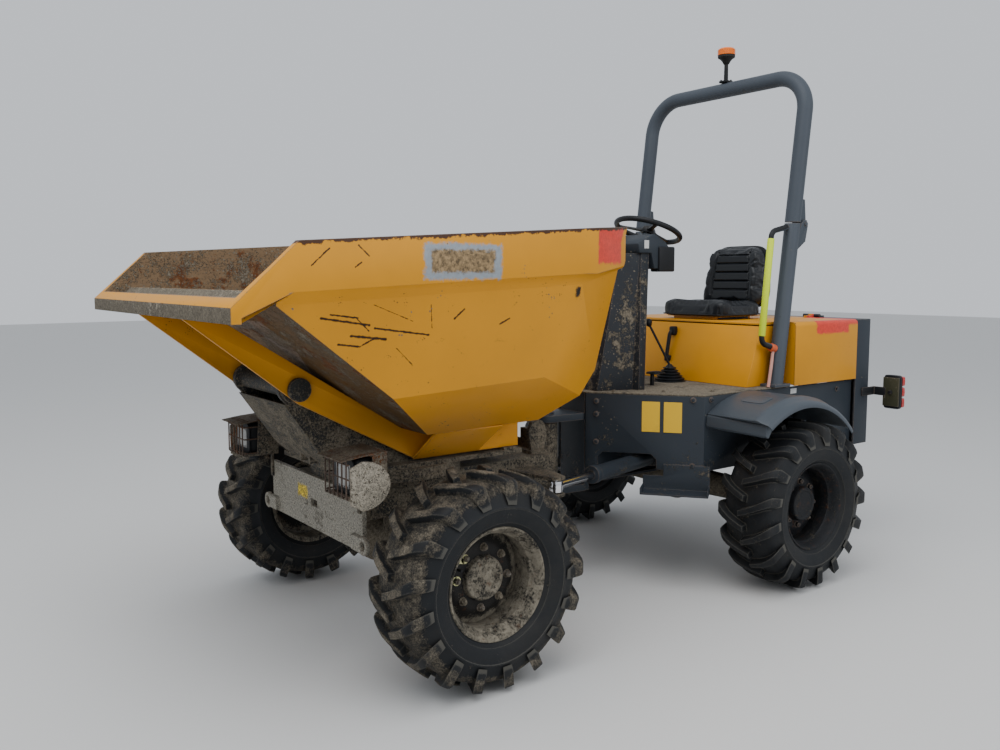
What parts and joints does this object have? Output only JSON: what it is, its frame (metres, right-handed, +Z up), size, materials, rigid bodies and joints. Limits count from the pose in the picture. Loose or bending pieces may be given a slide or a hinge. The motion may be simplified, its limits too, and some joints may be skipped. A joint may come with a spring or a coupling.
{
  "type": "articulated swivel-skip site dumper",
  "caption": "Articulated site dumper with a swivelling front-tipping skip, folding roll hoop, open driver platform and lugged traction tyres.",
  "frame": {"origin": "on the ground under the centre of the bounding box", "axes": "+Z up, -Y forward over the skip lip, +X to the machine left"},
  "size_m": [1.894, 3.88, 2.79],
  "materials": {
    "yellow_paint": "satin enamel, scratched and muddy",
    "dark_paint": "satin blue-grey enamel, muddy",
    "front_grey": "dark paint under dried mud",
    "hoop_grey": "satin grey powder coat",
    "tyre": "matt tread rubber, muddy",
    "front_rim": "grey paint under mud",
    "rear_rim": "black paint, dusty",
    "cast_dark": "painted casting, oily",
    "chrome": "hard chrome ram rod",
    "black_plastic": "moulded black plastic",
    "seat_vinyl": "grained black vinyl",
    "amber_lens": "translucent amber plastic",
    "red_lens": "translucent red plastic",
    "lamp": "lamp glass and black housing, muddy",
    "guard_steel": "bare steel, rusty and muddy",
    "rail_yellow": "bright yellow grip sleeve on steel"
  },
  "bodies": {
    "rear_frame": {"rear_spine": "dark_paint", "side_plate_left": "dark_paint", "side_plate_right": "dark_paint", "deck_plate": "dark_paint", "mudguard_left": "dark_paint", "mudguard_right": "dark_paint", "rear_axle": "cast_dark", "seat_box": "yellow_paint", "engine_block": "cast_dark", "rear_panel": "dark_paint", "console_tower": "dark_paint", "dash_box": "black_plastic", "rops_post_left": "hoop_grey", "rops_post_right": "hoop_grey", "tail_lamp_left": "red_lens", "tail_lamp_right": "red_lens", "controls": "black_plastic"},
    "cover": {"engine_cover": "yellow_paint", "seat_cushion": "seat_vinyl", "seat_backrest": "seat_vinyl"},
    "handwheel": {"steering_wheel": "black_plastic"},
    "roll_hoop": {"rops_hoop": "hoop_grey", "beacon": "amber_lens"},
    "wheel_rear_left": {"tyre_rear_left": "tyre", "rim_rear_left": "rear_rim"},
    "wheel_rear_right": {"tyre_rear_right": "tyre", "rim_rear_right": "rear_rim"},
    "front_frame": {"front_chassis": "front_grey", "front_axle": "cast_dark", "bumper_plate": "front_grey", "headlamp_left": "lamp", "headlamp_right": "lamp", "lamp_guard_left": "guard_steel", "lamp_guard_right": "guard_steel"},
    "wheel_front_left": {"tyre_front_left": "tyre", "rim_front_left": "front_rim"},
    "wheel_front_right": {"tyre_front_right": "tyre", "rim_front_right": "front_rim"},
    "swivel": {"swivel_frame": "front_grey"},
    "skip": {"skip_shell": "yellow_paint", "skip_rib_left": "yellow_paint", "skip_rib_right": "yellow_paint"},
    "tip_ram_barrel": {"tip_barrel": "dark_paint"},
    "tip_ram_rod": {"tip_rod": "chrome"},
    "steer_ram_barrel": {"steer_barrel": "dark_paint"},
    "steer_ram_rod": {"steer_rod": "chrome"}
  },
  "joints": [
    {"name": "articulation", "type": "hinge", "parent": "rear_frame", "child": "front_frame", "pos_m": [0, -0.05, 0.64], "axis": [0, 0, 1], "range_deg": [-33, 33]},
    {"name": "skip_slew", "type": "hinge", "parent": "front_frame", "child": "swivel", "pos_m": [0, -0.95, 0.712], "axis": [0, 0, -1], "range_deg": [-90, 90]},
    {"name": "skip_tip", "type": "hinge", "parent": "swivel", "child": "skip", "pos_m": [0, -1.48, 1.1], "axis": [1, 0, 0], "range_deg": [0, 60]},
    {"name": "tip_ram_swing", "type": "hinge", "parent": "swivel", "child": "tip_ram_barrel", "pos_m": [0, -1.3, 0.845], "axis": [1, 0, 0], "range_deg": [0, 65]},
    {"name": "tip_ram_stroke", "type": "slide", "parent": "tip_ram_barrel", "child": "tip_ram_rod", "axis": [0, 0.9997, -0.0241], "range_m": [0, 0.305]},
    {"name": "steer_ram_swing", "type": "hinge", "parent": "rear_frame", "child": "steer_ram_barrel", "pos_m": [0.23, 0.48, 0.596], "axis": [0, 0, 1], "range_deg": [-16, 16]},
    {"name": "steer_ram_stroke", "type": "slide", "parent": "steer_ram_barrel", "child": "steer_ram_rod", "axis": [0.2481, -0.9687, 0], "range_m": [-0.205, 0.205]},
    {"name": "hoop_fold", "type": "hinge", "parent": "rear_frame", "child": "roll_hoop", "pos_m": [0, 1.22416, 1.789], "axis": [1, 0, 0], "range_deg": [-90, 0]},
    {"name": "cover_open", "type": "hinge", "parent": "rear_frame", "child": "cover", "pos_m": [0, 1.697, 1.293], "axis": [-1, 0, 0], "range_deg": [0, 60]},
    {"name": "handwheel_turn", "type": "hinge", "parent": "rear_frame", "child": "handwheel", "pos_m": [0, 0.66, 1.765], "axis": [0, 0.342, 0.9397], "continuous": true},
    {"name": "roll_front_left", "type": "hinge", "parent": "front_frame", "child": "wheel_front_left", "pos_m": [0.795, -1, 0.41], "axis": [1, 0, 0], "continuous": true},
    {"name": "roll_front_right", "type": "hinge", "parent": "front_frame", "child": "wheel_front_right", "pos_m": [-0.795, -1, 0.41], "axis": [1, 0, 0], "continuous": true},
    {"name": "roll_rear_left", "type": "hinge", "parent": "rear_frame", "child": "wheel_rear_left", "pos_m": [0.795, 0.893, 0.41], "axis": [1, 0, 0], "continuous": true},
    {"name": "roll_rear_right", "type": "hinge", "parent": "rear_frame", "child": "wheel_rear_right", "pos_m": [-0.795, 0.893, 0.41], "axis": [1, 0, 0], "continuous": true}
  ],
  "couplings": [
    {"joint": "tip_ram_swing", "follows": "skip_tip", "ratio": 1.07},
    {"joint": "tip_ram_stroke", "follows": "skip_tip", "m_per_rad": 0.286},
    {"joint": "steer_ram_swing", "follows": "articulation", "ratio": 0.4585},
    {"joint": "steer_ram_stroke", "follows": "articulation", "m_per_rad": -0.3491}
  ]
}
